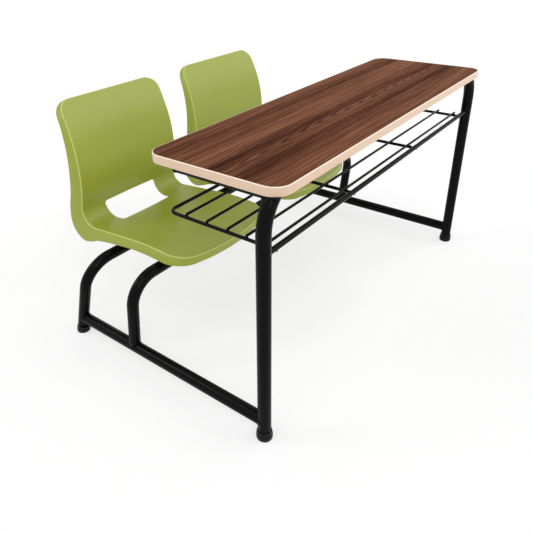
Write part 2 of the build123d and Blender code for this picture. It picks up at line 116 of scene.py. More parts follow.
class Net:
    """Small helper that adds and joins nodes in one node tree."""

    def __init__(self, tree: bpy.types.NodeTree) -> None:
        """Keep the tree."""
        self.tree = tree

    def add(self, kind: str, **values: object) -> bpy.types.Node:
        """Add a node.

        Args:
            kind: the node's type name.
            values: attributes, or socket values where the key starts with "in_".

        Returns:
            The new node.
        """
        node = self.tree.nodes.new(kind)
        for key, value in values.items():
            if key.startswith("in_"):
                node.inputs[key.removeprefix("in_").replace("_", " ")].default_value = value
            else:
                setattr(node, key, value)
        return node

    def join(self, source: bpy.types.NodeSocket, target: bpy.types.NodeSocket) -> None:
        """Link two sockets."""
        self.tree.links.new(source, target)

    def feed(self, term: object, target: bpy.types.NodeSocket) -> None:
        """Give a socket its input.

        Args:
            term: a socket to link, or a plain value to set.
            target: the socket that takes it.
        """
        if isinstance(term, bpy.types.NodeSocket):
            self.join(term, target)
        else:
            target.default_value = term

    def math(self, operation: str, *terms: bpy.types.NodeSocket | float) -> bpy.types.NodeSocket:
        """One step of arithmetic over sockets or plain numbers.

        Args:
            operation: the step's name.
            terms: what goes in, in order.

        Returns:
            The result's socket.
        """
        node = self.add("ShaderNodeMath", operation=operation)
        for socket, term in zip(node.inputs, terms):
            self.feed(term, socket)
        return node.outputs[0]

    def blend(self, share: bpy.types.NodeSocket, low: object, high: object) -> bpy.types.NodeSocket:
        """Mix of two colours.

        Args:
            share: the second colour's share.
            low: the first colour, as a socket or a plain value.
            high: the second colour, as a socket or a plain value.

        Returns:
            The mixed colour's socket.
        """
        node = self.add("ShaderNodeMix", data_type="RGBA")
        for term, index in ((share, 0), (low, 6), (high, 7)):
            self.feed(term, node.inputs[index])
        return node.outputs[2]

    def span(self, source: bpy.types.NodeSocket, old: tuple, new: tuple) -> bpy.types.NodeSocket:
        """Value carried from one span to another and held at its ends.

        Args:
            source: the value.
            old: ends of the span that it comes from.
            new: ends of the span that it goes to, as sockets or plain numbers.

        Returns:
            The new value's socket.
        """
        node = self.add("ShaderNodeMapRange")
        for socket, term in zip(node.inputs, (source, *old, *new)):
            self.feed(term, socket)
        return node.outputs[0]

    def ramp(
        self, source: bpy.types.NodeSocket, stops: Sequence[tuple[float, Colour]]
    ) -> bpy.types.NodeSocket:
        """Colour ramp over a value.

        Args:
            source: the value.
            stops: places and colours, lowest first.

        Returns:
            The ramp's colour socket.
        """
        node = self.add("ShaderNodeValToRGB")
        band = node.color_ramp
        while len(band.elements) < len(stops):
            band.elements.new(0.5)
        for element, (place, colour) in zip(band.elements, stops):
            element.position = place
            element.color = colour
        self.join(source, node.inputs[0])
        return node.outputs[0]


def mottle_group() -> bpy.types.ShaderNodeTree:
    """Group that varies a moulded or sprayed surface: slow shade, roughness and fine height.

    Returns:
        The group, made on first use.
    """
    found = bpy.data.node_groups.get("surface mottle")
    if found:
        return found
    group = bpy.data.node_groups.new("surface mottle", "ShaderNodeTree")
    number, colour = "NodeSocketFloat", "NodeSocketColor"
    sockets = (
        ("INPUT", number, ("Fine scale", "Slow scale")),
        ("INPUT", colour, ("Low colour", "High colour")),
        ("INPUT", number, ("Low roughness", "High roughness")),
        ("OUTPUT", colour, ("Colour",)),
        ("OUTPUT", number, ("Roughness", "Height")),
    )
    for way, kind, names in sockets:
        for name in names:
            group.interface.new_socket(name, in_out=way, socket_type=kind)
    net = Net(group)
    entry = net.add("NodeGroupInput").outputs
    leave = net.add("NodeGroupOutput").inputs
    place = net.add("ShaderNodeTexCoord").outputs["Object"]
    slow = net.add("ShaderNodeTexNoise", in_Detail=3.0, in_Roughness=0.5)
    fine = net.add("ShaderNodeTexNoise", in_Detail=2.0, in_Roughness=0.6)
    for noise, name in ((slow, "Slow scale"), (fine, "Fine scale")):
        net.join(place, noise.inputs["Vector"])
        net.join(entry[name], noise.inputs["Scale"])
    shade = slow.outputs["Fac"]
    roughness = net.span(shade, (0.3, 0.7), (entry["Low roughness"], entry["High roughness"]))
    net.join(net.blend(shade, entry["Low colour"], entry["High colour"]), leave["Colour"])
    net.join(roughness, leave["Roughness"])
    net.join(fine.outputs["Fac"], leave["Height"])
    return group


@dataclass(frozen=True)
class Mottled:
    """Moulded plastic, powder coat or bare metal with a slow shade, a fine texture and, where given, a
    painted highlight colour on marked arrises.
    """

    name: str
    low: Colour
    high: Colour
    smooth: float
    rough: float
    slow_scale: float = 9.0
    fine_scale: float = 900.0
    bump: float = 0.05
    bump_depth: float = 0.0002
    metal: float = 0.0
    specular: float = 0.5
    # Colour of a painted highlight, laid on the arrises that the mesh marks
    arris: Colour | None = None

    def make(self) -> bpy.types.Material:
        """Build the material.

        Returns:
            The material, with the arris colour painted in as a highlight, if it has one, where the mesh
            marks its arrises.
        """
        material = bpy.data.materials.new(self.name)
        material.use_nodes = True
        net = Net(material.node_tree)
        shader = material.node_tree.nodes["Principled BSDF"]
        shader.inputs["Metallic"].default_value = self.metal
        shader.inputs["Specular IOR Level"].default_value = self.specular
        group = net.add("ShaderNodeGroup", node_tree=mottle_group())
        settings = {
            "Fine scale": self.fine_scale,
            "Slow scale": self.slow_scale,
            "Low colour": self.low,
            "High colour": self.high,
            "Low roughness": self.smooth,
            "High roughness": self.rough,
        }
        for name, value in settings.items():
            group.inputs[name].default_value = value
        bump = net.add("ShaderNodeBump", in_Strength=self.bump, in_Distance=self.bump_depth)
        colour = group.outputs["Colour"]
        # Painted highlight: the arris colour is blended in where the mesh's arris attribute marks it
        if self.arris:
            painted_highlight_mark = net.add("ShaderNodeAttribute", attribute_name="arris")
            colour = net.blend(painted_highlight_mark.outputs["Fac"], colour, self.arris)
        net.join(colour, shader.inputs["Base Color"])
        net.join(group.outputs["Roughness"], shader.inputs["Roughness"])
        net.join(group.outputs["Height"], bump.inputs["Height"])
        net.join(bump.outputs["Normal"], shader.inputs["Normal"])
        return material


@dataclass(frozen=True)
class Fibre:
    """Noise drawn out along the grain, and how it is used."""

    scale: Triple
    detail: float
    spread: float
    share: float


@dataclass(frozen=True)
class WalnutLaminate:
    """Printed walnut laminate: straight grain along the desk, with arched figure near its middle."""

    name: str = "walnut laminate"
    dark: Colour = tone(52, 28, 20)
    middle: Colour = tone(98, 60, 43)
    light: Colour = tone(138, 94, 69)
    tone_places: Triple = (0.40, 0.49, 0.61)
    smooth: float = 0.38
    rough: float = 0.50
    gloss_span: tuple[float, float] = (0.35, 0.65)
    specular: float = 0.002
    bump: float = 0.08
    bump_depth: float = 0.0002
    wander: Fibre = Fibre((1.6, 2.0, 1.0), 1.0, 0.4, 0.014)
    bands: Fibre = Fibre((0.22, 15.0, 1.0), 2.0, 0.5, 0.30)
    streaks: Fibre = Fibre((2.4, 215.0, 1.0), 3.0, 0.72, 0.42)
    fibres: Fibre = Fibre((8.0, 520.0, 1.0), 2.0, 0.6, 0.28)
    arch_wobble: Fibre = Fibre((1.3, 17.0, 1.0), 1.0, 0.5, 0.26)
    arch_share: float = -0.075
    arch_line: float = -0.315
    arch_reach: float = 10.0
    arch_tip: float = 0.011
    arch_step: float = 0.085
    arch_sharpness: float = 3.0
    arch_fade: tuple[float, float] = (0.0004, 0.0090)

    def noise(self, net: Net, place: bpy.types.NodeSocket, fibre: Fibre) -> bpy.types.NodeSocket:
        """Noise stretched along the grain.

        Args:
            net: the material's nodes.
            place: the coordinates.
            fibre: how fine and how rich it is.

        Returns:
            The noise value.
        """
        stretch = net.add("ShaderNodeMapping", in_Scale=fibre.scale)
        node = net.add(
            "ShaderNodeTexNoise", in_Scale=1.0, in_Detail=fibre.detail, in_Roughness=fibre.spread,
        )
        net.join(place, stretch.inputs["Vector"])
        net.join(stretch.outputs[0], node.inputs["Vector"])
        return node.outputs["Fac"]

    def arches(self, net: Net, place: bpy.types.NodeSocket) -> bpy.types.NodeSocket:
        """Dark lines of growth rings that open along the desk from one line.

        Args:
            net: the material's nodes.
            place: the grain's coordinates.

        Returns:
            One on a dark line, fading to nothing away from the arches.
        """
        parts = net.add("ShaderNodeSeparateXYZ")
        net.join(place, parts.inputs[0])
        off = net.math("SUBTRACT", parts.outputs["Y"], self.arch_line)
        square = net.math("MULTIPLY", off, off)
        spine = net.math("SQRT", net.math("ADD", square, self.arch_tip ** 2))
        wobble = net.math("MULTIPLY", self.noise(net, place, self.arch_wobble), self.arch_wobble.share)
        along = net.math("SUBTRACT", parts.outputs["X"], net.math("MULTIPLY", spine, self.arch_reach))
        turn = net.math("MULTIPLY", net.math("ADD", along, wobble), math.tau / self.arch_step)
        wave = net.math("MULTIPLY_ADD", net.math("SINE", turn), 0.5, 0.5)
        line = net.math("POWER", wave, self.arch_sharpness)
        return net.math("MULTIPLY", line, net.span(square, self.arch_fade, (1.0, 0.0)))

    def wandered(self, net: Net) -> bpy.types.NodeSocket:
        """Coordinates of the grain, which wander slowly sideways.

        Args:
            net: the material's nodes.

        Returns:
            The grain's coordinates.
        """
        place = net.add("ShaderNodeTexCoord").outputs["Object"]
        drift = net.add("ShaderNodeCombineXYZ")
        sideways = net.math("MULTIPLY", self.noise(net, place, self.wander), self.wander.share)
        net.join(sideways, drift.inputs["Y"])
        grain = net.add("ShaderNodeVectorMath", operation="ADD")
        net.join(place, grain.inputs[0])
        net.join(drift.outputs[0], grain.inputs[1])
        return grain.outputs[0]

    def make(self) -> bpy.types.Material:
        """Build the material.

        Returns:
            The material.
        """
        material = bpy.data.materials.new(self.name)
        material.use_nodes = True
        net = Net(material.node_tree)
        shader = material.node_tree.nodes["Principled BSDF"]
        shader.inputs["Specular IOR Level"].default_value = self.specular
        grain = self.wandered(net)

        # Broad bands, streaks, fibres and arches are added up, then read as tones
        fibre_noise = self.noise(net, grain, self.fibres)
        total = net.math("MULTIPLY", self.noise(net, grain, self.bands), self.bands.share)
        total = net.math("MULTIPLY_ADD", self.noise(net, grain, self.streaks), self.streaks.share, total)
        total = net.math("MULTIPLY_ADD", fibre_noise, self.fibres.share, total)
        total = net.math("MULTIPLY_ADD", self.arches(net, grain), self.arch_share, total)
        colour = net.ramp(total, list(zip(self.tone_places, (self.dark, self.middle, self.light))))
        gloss = net.span(total, self.gloss_span, (self.rough, self.smooth))
        bump = net.add("ShaderNodeBump", in_Strength=self.bump, in_Distance=self.bump_depth)
        net.join(fibre_noise, bump.inputs["Height"])
        net.join(colour, shader.inputs["Base Color"])
        net.join(gloss, shader.inputs["Roughness"])
        net.join(bump.outputs["Normal"], shader.inputs["Normal"])
        return material


def seen_directly(net: Net) -> bpy.types.NodeSocket:
    """Find out whether a surface or the surround is seen rather than giving light.

    Args:
        net: the nodes of its material or world.

    Returns:
        One for camera, glossy and transmission rays, nothing for the rest.
    """
    rays = net.add("ShaderNodeLightPath").outputs
    either = net.math("MAXIMUM", rays["Is Camera Ray"], rays["Is Glossy Ray"])
    return net.math("MAXIMUM", either, rays["Is Transmission Ray"])


@dataclass(frozen=True)
class FloorWhite:
    """White studio floor that shows plain white and keeps the desk's faint shadow."""

    name: str = "studio floor"
    white: float = 0.97
    plain: float = 0.6
    roughness: float = 0.9

    def make(self) -> bpy.types.Material:
        """Build the material.

        Returns:
            The material.
        """
        material = bpy.data.materials.new(self.name)
        material.use_nodes = True
        net = Net(material.node_tree)
        shader = material.node_tree.nodes["Principled BSDF"]
        shader.inputs["Base Color"].default_value = (self.white, self.white, self.white, 1.0)
        shader.inputs["Roughness"].default_value = self.roughness
        shader.inputs["Specular IOR Level"].default_value = 0.0
        glow = net.add("ShaderNodeEmission", in_Strength=1.0)
        mix = net.add("ShaderNodeMixShader")
        net.join(net.math("MULTIPLY", seen_directly(net), self.plain), mix.inputs[0])
        net.join(shader.outputs[0], mix.inputs[1])
        net.join(glow.outputs[0], mix.inputs[2])
        net.join(mix.outputs[0], material.node_tree.nodes["Material Output"].inputs["Surface"])
        return material


FINISHES = {
    Slot.LAMINATE: WalnutLaminate(),
    # The seat's arris colour is a painted highlight along the crease of its turned edge
    Slot.SEAT: Mottled(
        "olive seat plastic", tone(141, 152, 46), tone(149, 160, 54), 0.36, 0.42,
        slow_scale=5.0, fine_scale=1500.0, bump=0.06, specular=0.5, arris=tone(196, 207, 118),
    ),
    # The band's arris colour is a painted highlight, a pale line along its upper arris
    Slot.BAND: Mottled(
        "beige edge band", tone(212, 182, 155), tone(220, 192, 167), 0.26, 0.34,
        slow_scale=22.0, fine_scale=1200.0, bump=0.04, specular=0.4, arris=tone(246, 236, 224),
    ),
    Slot.POWDER: Mottled(
        "black powder coat", tone(7, 7, 7), tone(11, 11, 11), 0.20, 0.27,
        slow_scale=30.0, fine_scale=1400.0, bump=0.08, specular=0.07,
    ),
    Slot.CAP: Mottled(
        "black cap plastic", tone(6, 6, 6), tone(10, 10, 10), 0.22, 0.30,
        slow_scale=40.0, fine_scale=2000.0, bump=0.06, specular=0.16,
    ),
    Slot.ZINC: Mottled(
        "zinc plated steel", tone(150, 150, 152), tone(190, 190, 188), 0.28, 0.42,
        slow_scale=120.0, fine_scale=3000.0, bump=0.1, metal=1.0,
    ),
    Slot.BACKING: Mottled(
        "pale backing sheet", tone(196, 190, 178), tone(208, 203, 192), 0.5, 0.6,
        slow_scale=18.0, fine_scale=700.0, bump=0.1,
    ),
    Slot.BOARD: Mottled(
        "particle board", tone(150, 118, 84), tone(186, 152, 112), 0.7, 0.85,
        slow_scale=260.0, fine_scale=1100.0, bump=0.5, bump_depth=0.0006,
    ),
}


class Finisher:
    """Makes each finish once and puts it on pieces."""

    def __init__(self) -> None:
        """Start with nothing made."""
        self.made: dict[Slot, bpy.types.Material] = {}

    def material(self, slot: Slot) -> bpy.types.Material:
        """Find a slot's material.

        Args:
            slot: the record's slot.

        Returns:
            Its material, made on first use.
        """
        if slot not in self.made:
            self.made[slot] = FINISHES[slot].make()
        return self.made[slot]

    def dress(self, piece: bpy.types.Object, slot: Slot) -> None:
        """Give a piece its slot's finish and no other."""
        piece.data.materials.clear()
        piece.data.materials.append(self.material(slot))


# Mesh helpers


def middle(node: str) -> Vector:
    """Middle of a solid's box."""
    low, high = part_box(node)
    return (low + high) / 2


def axes_to(direction: Vector, place: Vector) -> Matrix:
    """Matrix that stands a piece made along Z at a place, along a direction."""
    turn = direction.to_track_quat("Z", "Y").to_matrix().to_4x4()
    return Matrix.Translation(place) @ turn


def spun(profile: Sequence[tuple[float, float]], steps: int) -> bmesh.types.BMesh:
    """Solid of revolution round Z.

    Args:
        profile: (radius, height) points, in order, both ends on the axis.
        steps: steps round.

    Returns:
        The bmesh, closed, with outward normals.
    """
    mesh = bmesh.new()
    verts = [mesh.verts.new((radius, 0, height)) for radius, height in profile]
    edges = [mesh.edges.new(pair) for pair in zip(verts, verts[1:])]
    bmesh.ops.spin(
        mesh, geom=verts + edges, cent=(0, 0, 0), axis=(0, 0, 1), angle=math.tau, steps=steps,
        use_merge=True,
    )
    bmesh.ops.remove_doubles(mesh, verts=mesh.verts, dist=SAME_PLACE)
    bmesh.ops.recalc_face_normals(mesh, faces=mesh.faces)
    return mesh


def join_meshes(meshes: Iterable[bmesh.types.BMesh]) -> bmesh.types.BMesh:
    """Put several bmeshes in one.

    Args:
        meshes: the bmeshes, freed here.

    Returns:
        The whole.
    """
    whole = bmesh.new()
    for mesh in meshes:
        data = bpy.data.meshes.new("part")
        mesh.to_mesh(data)
        mesh.free()
        whole.from_mesh(data)
        bpy.data.meshes.remove(data)
    return whole


def finish_mesh(name: str, mesh: bmesh.types.BMesh, smooth_angle: float = 40.0) -> bpy.types.Object:
    """Turn a bmesh into a linked object with smooth shading below an angle.

    Args:
        name: the object's name.
        mesh: the bmesh, freed here.
        smooth_angle: edges sharper than this stay sharp.

    Returns:
        The new object.
    """
    for face in mesh.faces:
        face.smooth = True
    limit = math.radians(smooth_angle)
    for edge in mesh.edges:
        edge.smooth = len(edge.link_faces) == 2 and edge.calc_face_angle(0.0) < limit
    data = bpy.data.meshes.new(name)
    mesh.to_mesh(data)
    mesh.free()
    piece = bpy.data.objects.new(name, data)
    bpy.context.scene.collection.objects.link(piece)
    return piece


def settle(piece: bpy.types.Object, slot: Slot, finisher: Finisher, nodes: Iterable[str] = ()) -> None:
    """Put a finished piece on the desk's one body.

    Args:
        piece: the object.
        slot: the record's slot that it takes its finish from.
        finisher: what dresses it.
        nodes: solids that it stands for.
    """
    finisher.dress(piece, slot)
    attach(piece, "root")
    if nodes:
        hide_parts(*nodes)
    log.info("piece %s: %d faces", piece.name, len(piece.data.polygons))


def upright_span(edge: bmesh.types.BMEdge) -> float:
    """How far an edge climbs."""
    return abs(edge.verts[0].co.z - edge.verts[1].co.z)


def eased(radius: float, turn: int) -> list[float]:
    """Distances into a rounded corner of a radius, from nothing up, a turn apart."""
    return [radius * (1 - math.cos(math.radians(a))) for a in range(0, 91, turn)]


def between(start: float, end: float, step: float) -> list[float]:
    """Even places between two ends, about a step apart, without the ends."""
    count = max(1, round((end - start) / step))
    return [start + (end - start) * k / count for k in range(1, count)]


def corner_loss(radius: float, distance: float) -> float:
    """How much a rounded corner takes off a half width.

    Args:
        radius: the corner's radius.
        distance: distance from the end that the corner rounds.

    Returns:
        The loss, nothing past the corner.
    """
    if distance >= radius:
        return 0.0
    return radius - math.sqrt(max(0.0, radius ** 2 - (radius - distance) ** 2))


def blend_table(x: float, places: Sequence[float], values: Sequence[float]) -> float:
    """Smooth curve through a table.

    Args:
        x: where to read it.
        places: rising places.
        values: the value at each place.

    Returns:
        The value at x, held flat outside the table.
    """
    if x <= places[0]:
        return values[0]
    if x >= places[-1]:
        return values[-1]
    i = max(k for k in range(len(places) - 1) if places[k] <= x)

    def slope(k: int) -> float:
        """Slope of the curve at one place of the table.

        Args:
            k: the place's number.

        Returns:
            The slope, none at the ends and where the values turn.
        """
        if k == 0 or k == len(places) - 1:
            return 0.0
        before = (values[k] - values[k - 1]) / (places[k] - places[k - 1])
        after = (values[k + 1] - values[k]) / (places[k + 1] - places[k])
        return 0.0 if before * after <= 0 else 2 * before * after / (before + after)

    step = places[i + 1] - places[i]
    t = (x - places[i]) / step
    rise = values[i + 1] - values[i]
    a, b = slope(i) * step, slope(i + 1) * step
    return values[i] + a * t + (3 * rise - 2 * a - b) * t * t + (a + b - 2 * rise) * t ** 3


# Desktop


@dataclass
class Desktop:
    """The top: laminate, board and backing inside a plastic edge band with a soft arris."""

    corner: float = 0.048
    corner_steps: int = 20
    band: float = 0.003
    arris: float = 0.002
    arris_steps: int = 4
    highlight_mark_share: float = 0.98
    smooth_angle: float = 30.0

    def board(self, low: Vector, high: Vector, corner: float) -> bmesh.types.BMesh:
        """Flat board with rounded corners.

        Args:
            low: lowest corner of its box.
            high: highest corner of its box.
            corner: radius of its corners in plan.

        Returns:
            The board's bmesh.
        """
        mesh = bmesh.new()
        size = high - low
        place = Matrix.Translation((low + high) / 2) @ Matrix.Diagonal((*size, 1))
        bmesh.ops.create_cube(mesh, size=1.0, matrix=place)
        posts = [e for e in mesh.edges if upright_span(e) > size.z / 2]
        bmesh.ops.bevel(
            mesh, geom=posts, offset=corner, offset_type="OFFSET", segments=self.corner_steps,
            profile=0.5, affect="EDGES", material=-1,
        )
        return mesh

    def edge_band(self) -> bmesh.types.BMesh:
        """Ring round the board, open in the middle, its outer edges rounded.

        Returns:
            The band's bmesh, with its upper arris marked for a painted highlight.
        """
        low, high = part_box("desktop_edge_band")
        mesh = self.board(low, high, self.corner)
        painted_highlight_mark = mesh.verts.layers.float.new("arris")
        flats = [f for f in mesh.faces if abs(f.normal.z) > LEVEL_NORMAL]
        bmesh.ops.inset_individual(mesh, faces=flats, thickness=self.band, use_even_offset=True)
        loops = [e for f in flats for e in f.edges]
        bmesh.ops.delete(mesh, geom=flats, context="FACES_ONLY")
        bmesh.ops.bridge_loops(mesh, edges=loops)
        bmesh.ops.recalc_face_normals(mesh, faces=mesh.faces)
        centre = (low + high) / 2
        walls = [f for f in mesh.faces if abs(f.normal.z) < LEVEL_NORMAL]
        outer = [f for f in walls if f.normal.dot(f.calc_center_median() - centre) > 0]
        arrises = {e for f in outer for e in f.edges if upright_span(e) < SAME_PLACE}
        rounded = bmesh.ops.bevel(
            mesh, geom=list(arrises), offset=self.arris, offset_type="OFFSET", segments=self.arris_steps,
            profile=0.5, affect="EDGES", material=-1,
        )
        # Painted highlight: the rounding of the upper arris is marked for the band's near-white arris colour
        for vert in rounded["verts"]:
            if high.z - self.arris * self.highlight_mark_share < vert.co.z < high.z - SAME_PLACE:
                vert[painted_highlight_mark] = 1.0
        return mesh

    def build(self, finisher: Finisher) -> None:
        """Build the four layers.

        Args:
            finisher: what dresses them.
        """
        band = finish_mesh("edge_band", self.edge_band(), self.smooth_angle)
        settle(band, Slot.BAND, finisher, ["desktop_edge_band"])
        sheets = {
            "desktop_laminate": Slot.LAMINATE,
            "desktop_core": Slot.BOARD,
            "desktop_backing_sheet": Slot.BACKING,
        }
        for node, slot in sheets.items():
            board = self.board(*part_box(node), self.corner - self.band)
            sheet = finish_mesh(node.removeprefix("desktop_"), board, self.smooth_angle)
            settle(sheet, slot, finisher, [node])


# Frame details


@dataclass(frozen=True)
class Tubes:
    """Radii of the tubes and rods, as the solids have them, and the hoops' leans toward the front."""

    radius: float = 0.019
    arm_radius: float = 0.010
    rack_rail_radius: float = 0.0075
    rack_rod_radius: float = 0.005
    long_rod_radius: float = 0.004
    front_lean: float = 5.5
    rear_lean: float = 17.0


TUBES = Tubes()


@dataclass
class FootCap:
    """Moulded cap on a tube's foot: rounded base, bulging body, groove and collar."""

    wall: float = 0.0045
    collar_wall: float = 0.0025
    height: float = 0.030
    collar: float = 0.008
    groove: float = 0.0015
    base_inset: float = 0.004
    floor: float = 0.006
    base_steps: int = 6
    neck_steps: int = 5
    round_steps: int = 48
    smooth_angle: float = 35.0

    @property
    def body(self) -> float:
        """Radius of the cap's body."""
        return TUBES.radius + self.wall

    def profile(self, below: float) -> list[tuple[float, float]]:
        """Outline from the middle of the base, out, up and back inside.

        Args:
            below: how far the base reaches under the foot's centre.

        Returns:
            (radius, height) points.
        """
        collar = TUBES.radius + self.collar_wall
        shoulder = self.height - self.collar
        low, high = shoulder / 3, 2 * shoulder / 3
        points = [(0.0, -below), (self.body - self.base_inset, -below)]
        for step in range(1, self.base_steps + 1):
            turn = math.pi / 2 * step / self.base_steps
            radius = self.body - self.base_inset * (1 - math.sin(turn))
            points.append((radius, -below + (low + below) * (1 - math.cos(turn))))
        points.append((self.body, high))
        for step in range(1, self.neck_steps + 1):
            share = step / self.neck_steps
            radius = self.body - (self.body - collar + self.groove) * share ** 2
            points.append((radius, high + (shoulder - high) * (1 - (1 - share) ** 2)))
        points += [
            (collar, shoulder + self.groove),
            (collar, self.height - self.groove / 2),
            (collar - self.groove / 2, self.height),
            (TUBES.radius, self.height),
            (TUBES.radius, self.floor),
            (0.0, self.floor),
        ]
        return points

    def build(self, node: str, lean: float, finisher: Finisher) -> None:
        """Build one cap.

        Args:
            node: the solid that it stands for.
            lean: the tube's lean toward the front.
            finisher: what dresses it.
        """
        low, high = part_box(node)
        angle = math.radians(lean)
        mesh = spun(self.profile(self.body * math.tan(angle)), self.round_steps)
        foot_y = high.y - self.body / math.cos(angle) if lean else (low.y + high.y) / 2
        place = Matrix.Translation(((low.x + high.x) / 2, foot_y, 0)) @ Matrix.Rotation(angle, 4, "X")
        bmesh.ops.transform(mesh, matrix=place, verts=mesh.verts)
        if lean:
            everything = mesh.verts[:] + mesh.edges[:] + mesh.faces[:]
            cut = bmesh.ops.bisect_plane(
                mesh, geom=everything, plane_co=(0, 0, 0), plane_no=(0, 0, 1), clear_inner=True,
            )
            rim = [item for item in cut["geom_cut"] if isinstance(item, bmesh.types.BMEdge)]
            bmesh.ops.holes_fill(mesh, edges=rim)
            bmesh.ops.recalc_face_normals(mesh, faces=mesh.faces)
        name = node.replace("foot_cap", "cap")
        settle(finish_mesh(name, mesh, self.smooth_angle), Slot.CAP, finisher, [node])


@dataclass(frozen=True)
class Joint:
    """Where one tube ends on the side of another."""

    start: Vector
    along: Vector
    radius: float
    other_along: Vector
    other_radius: float


@dataclass
class WeldBeads:
    """Weld beads that follow the saddle where a tube ends on another."""

    bead: float = 0.0022
    thin_bead: float = 0.0013
    thin_tube: float = 0.012
    ripple: float = 0.10
    ripples: int = 34
    steps: int = 68
    sides: int = 8
    edge_share: float = 0.2
    smooth_angle: float = 180.0

    def bead_mesh(self, joint: Joint) -> bmesh.types.BMesh:
        """One bead: a ring spun round the tube, pushed along it on to the saddle.

        Args:
            joint: the two tubes.

        Returns:
            The bead's bmesh.
        """
        mesh = bmesh.new()
        size = self.bead if joint.radius > self.thin_tube else self.thin_bead
        upright = Matrix.Translation((joint.radius, 0, 0)) @ Matrix.Rotation(math.pi / 2, 4, "X")
        bmesh.ops.create_circle(mesh, cap_ends=False, segments=self.sides, radius=size, matrix=upright)
        bmesh.ops.spin(
            mesh, geom=mesh.verts[:] + mesh.edges[:], cent=(0, 0, 0), axis=(0, 0, 1), angle=math.tau,
            steps=self.steps, use_merge=True,
        )
        place = axes_to(joint.along.normalized(), joint.start)
        across = joint.other_along.normalized()
        ahead = joint.along.normalized()
        ahead_flat = ahead - across * ahead.dot(across)
        a = ahead_flat.length_squared
        least = (self.edge_share * joint.radius * a) ** 2
        for vert in mesh.verts:
            turn = math.atan2(vert.co.y, vert.co.x)
            ring = Vector((math.cos(turn) * joint.radius, math.sin(turn) * joint.radius, 0))
            swell = 1 + self.ripple * math.sin(self.ripples * turn)
            vert.co = ring + (vert.co - ring) * swell
            side = place @ ring - joint.start
            side = side - across * side.dot(across)
            b = side.dot(ahead_flat)
            c = side.length_squared - joint.other_radius ** 2
            vert.co.z += (-b + math.sqrt(max(b * b - a * c, least))) / a
        bmesh.ops.transform(mesh, matrix=place, verts=mesh.verts)
        bmesh.ops.recalc_face_normals(mesh, faces=mesh.faces)
        return mesh

    def joints(self) -> list[Joint]:
        """Find every tube end that is welded on another tube.

        Returns:
            The joints, end by end.
        """
        up, ahead = Vector((0, 0, 1)), Vector((0, 1, 0))
        front_lean, rear_lean = math.radians(TUBES.front_lean), math.radians(TUBES.rear_lean)
        front_up = Vector((0, -math.sin(front_lean), math.cos(front_lean)))
        rear_up = Vector((0, -math.sin(rear_lean), math.cos(rear_lean)))
        front_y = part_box("front_seat_hoop")[1].y - TUBES.radius / math.cos(front_lean)
        rack, cross = middle("rack_front_rail"), middle("top_cross_rail")
        tube, rail_tube, arm_tube = TUBES.radius, TUBES.rack_rail_radius, TUBES.arm_radius
        found = []
        for side in Side:
            inward = Vector((-side.value, 0, 0))
            leg = middle(f"foot_cap_front_{side.word}")
            rail = middle(f"side_rail_{side.word}")
            arm = middle(f"top_arm_{side.word}")
            rear_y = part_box(f"foot_cap_rear_{side.word}")[1].y - FootCap().body / math.cos(rear_lean)
            rail_start = Vector((leg.x, leg.y, rail.z))
            rail_end = Vector((leg.x, rear_y - rail.z * math.tan(rear_lean), rail.z))
            front_foot = Vector((leg.x, front_y, rail.z))
            rack_end = Vector((leg.x, rack.y, rack.z))
            cross_end = Vector((arm.x, cross.y, arm.z))
            found += [
                Joint(rail_start, ahead, tube, up, tube),
                Joint(rail_end, -ahead, tube, rear_up, tube),
                Joint(front_foot, front_up, tube, ahead, tube),
                Joint(rack_end, inward, rail_tube, up, tube),
                Joint(cross_end, inward, arm_tube, ahead, arm_tube),
            ]
        return found

    def build(self, finisher: Finisher) -> None:
        """Build all beads as one piece."""
        beads = join_meshes(self.bead_mesh(joint) for joint in self.joints())
        settle(finish_mesh("weld_beads", beads, self.smooth_angle), Slot.POWDER, finisher)


